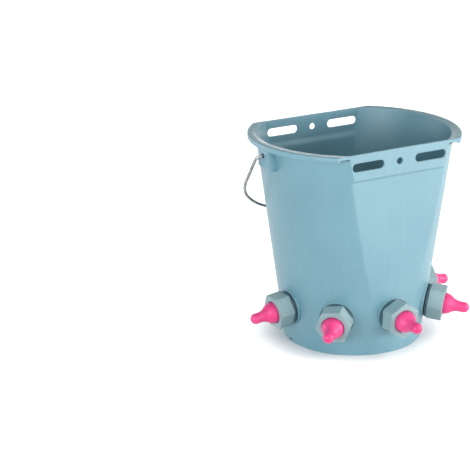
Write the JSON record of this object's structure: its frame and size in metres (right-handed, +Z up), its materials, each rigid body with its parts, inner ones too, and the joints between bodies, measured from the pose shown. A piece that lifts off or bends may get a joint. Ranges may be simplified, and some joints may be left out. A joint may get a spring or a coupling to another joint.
{
  "type": "multi teat lamb feeder",
  "caption": "Moulded blue feeding bucket with slotted hanging flats, a swinging wire bail and rubber teats held by hexagonal union nuts round its lower wall.",
  "frame": {"origin": "Middle of the foot ring, on the plane that the bucket stands on.", "axes": "+Z up; the front flat with the middle teat faces -Y; +X to the right seen from the front, along the bail's pivot."},
  "size_m": [0.293, 0.2479, 0.26],
  "materials": {
    "bucket_plastic": "satin",
    "fitting_plastic": "satin",
    "teat_rubber": "satin",
    "gasket_rubber": "matte",
    "valve_plastic": "satin",
    "bail_wire": "satin"
  },
  "bodies": {
    "bucket": {"bucket_base": "bucket_plastic", "bucket_wall": "bucket_plastic", "front_band": "bucket_plastic", "rear_band": "bucket_plastic", "left_rim": "bucket_plastic", "right_rim": "bucket_plastic", "wall_gasket_1": "gasket_rubber", "wall_gasket_2": "gasket_rubber", "wall_gasket_3": "gasket_rubber", "wall_gasket_4": "gasket_rubber", "wall_gasket_5": "gasket_rubber", "valve_spigot_1": "fitting_plastic", "valve_spigot_2": "fitting_plastic", "valve_spigot_3": "fitting_plastic", "valve_spigot_4": "fitting_plastic", "valve_spigot_5": "fitting_plastic", "lock_nut_1": "fitting_plastic", "lock_nut_2": "fitting_plastic", "lock_nut_3": "fitting_plastic", "lock_nut_4": "fitting_plastic", "lock_nut_5": "fitting_plastic", "ball_cage_1": "valve_plastic", "ball_cage_2": "valve_plastic", "ball_cage_3": "valve_plastic", "ball_cage_4": "valve_plastic", "ball_cage_5": "valve_plastic"},
    "bail": {"bail_handle": "bail_wire"},
    "teat_1": {"teat_1": "teat_rubber"},
    "nut_1": {"union_nut_1": "fitting_plastic"},
    "ball_1": {"valve_ball_1": "valve_plastic"},
    "teat_2": {"teat_2": "teat_rubber"},
    "nut_2": {"union_nut_2": "fitting_plastic"},
    "ball_2": {"valve_ball_2": "valve_plastic"},
    "teat_3": {"teat_3": "teat_rubber"},
    "nut_3": {"union_nut_3": "fitting_plastic"},
    "ball_3": {"valve_ball_3": "valve_plastic"},
    "teat_4": {"teat_4": "teat_rubber"},
    "nut_4": {"union_nut_4": "fitting_plastic"},
    "ball_4": {"valve_ball_4": "valve_plastic"},
    "teat_5": {"teat_5": "teat_rubber"},
    "nut_5": {"union_nut_5": "fitting_plastic"},
    "ball_5": {"valve_ball_5": "valve_plastic"}
  },
  "joints": [
    {"name": "bail_swing", "type": "hinge", "parent": "bucket", "child": "bail", "pos_m": [0, 0, 0.2465], "axis": [1, 0, 0], "range_deg": [0, 273.6]},
    {"name": "teat_1_lift", "type": "slide", "parent": "bucket", "child": "teat_1", "axis": [-0.991, 0, -0.1338], "range_m": [0, 0.009]},
    {"name": "nut_1_turn", "type": "hinge", "parent": "teat_1", "child": "nut_1", "pos_m": [-0.09288, 0, 0.0495], "axis": [-0.991, 0, -0.1338], "range_deg": [0, 1080]},
    {"name": "ball_1_lift", "type": "slide", "parent": "bucket", "child": "ball_1", "axis": [-0.991, 0, -0.1338], "range_m": [-0.0034, 0]},
    {"name": "teat_2_lift", "type": "slide", "parent": "bucket", "child": "teat_2", "axis": [-0.7008, -0.7008, -0.1338], "range_m": [0, 0.009]},
    {"name": "nut_2_turn", "type": "hinge", "parent": "teat_2", "child": "nut_2", "pos_m": [-0.06568, -0.06568, 0.0495], "axis": [-0.7008, -0.7008, -0.1338], "range_deg": [0, 1080]},
    {"name": "ball_2_lift", "type": "slide", "parent": "bucket", "child": "ball_2", "axis": [-0.7008, -0.7008, -0.1338], "range_m": [-0.0034, 0]},
    {"name": "teat_3_lift", "type": "slide", "parent": "bucket", "child": "teat_3", "axis": [0, -0.9995, -0.032], "range_m": [0, 0.009]},
    {"name": "nut_3_turn", "type": "hinge", "parent": "teat_3", "child": "nut_3", "pos_m": [0, -0.09058, 0.0495], "axis": [0, -0.9995, -0.032], "range_deg": [0, 1080]},
    {"name": "ball_3_lift", "type": "slide", "parent": "bucket", "child": "ball_3", "axis": [0, -0.9995, -0.032], "range_m": [-0.0034, 0]},
    {"name": "teat_4_lift", "type": "slide", "parent": "bucket", "child": "teat_4", "axis": [0.7008, -0.7008, -0.1338], "range_m": [0, 0.009]},
    {"name": "nut_4_turn", "type": "hinge", "parent": "teat_4", "child": "nut_4", "pos_m": [0.06568, -0.06568, 0.0495], "axis": [0.7008, -0.7008, -0.1338], "range_deg": [0, 1080]},
    {"name": "ball_4_lift", "type": "slide", "parent": "bucket", "child": "ball_4", "axis": [0.7008, -0.7008, -0.1338], "range_m": [-0.0034, 0]},
    {"name": "teat_5_lift", "type": "slide", "parent": "bucket", "child": "teat_5", "axis": [0.991, 0, -0.1338], "range_m": [0, 0.009]},
    {"name": "nut_5_turn", "type": "hinge", "parent": "teat_5", "child": "nut_5", "pos_m": [0.09288, 0, 0.0495], "axis": [0.991, 0, -0.1338], "range_deg": [0, 1080]},
    {"name": "ball_5_lift", "type": "slide", "parent": "bucket", "child": "ball_5", "axis": [0.991, 0, -0.1338], "range_m": [-0.0034, 0]}
  ],
  "couplings": [
    {"joint": "teat_1_lift", "follows": "nut_1_turn", "m_per_rad": 0.00047746},
    {"joint": "teat_2_lift", "follows": "nut_2_turn", "m_per_rad": 0.00047746},
    {"joint": "teat_3_lift", "follows": "nut_3_turn", "m_per_rad": 0.00047746},
    {"joint": "teat_4_lift", "follows": "nut_4_turn", "m_per_rad": 0.00047746},
    {"joint": "teat_5_lift", "follows": "nut_5_turn", "m_per_rad": 0.00047746}
  ]
}
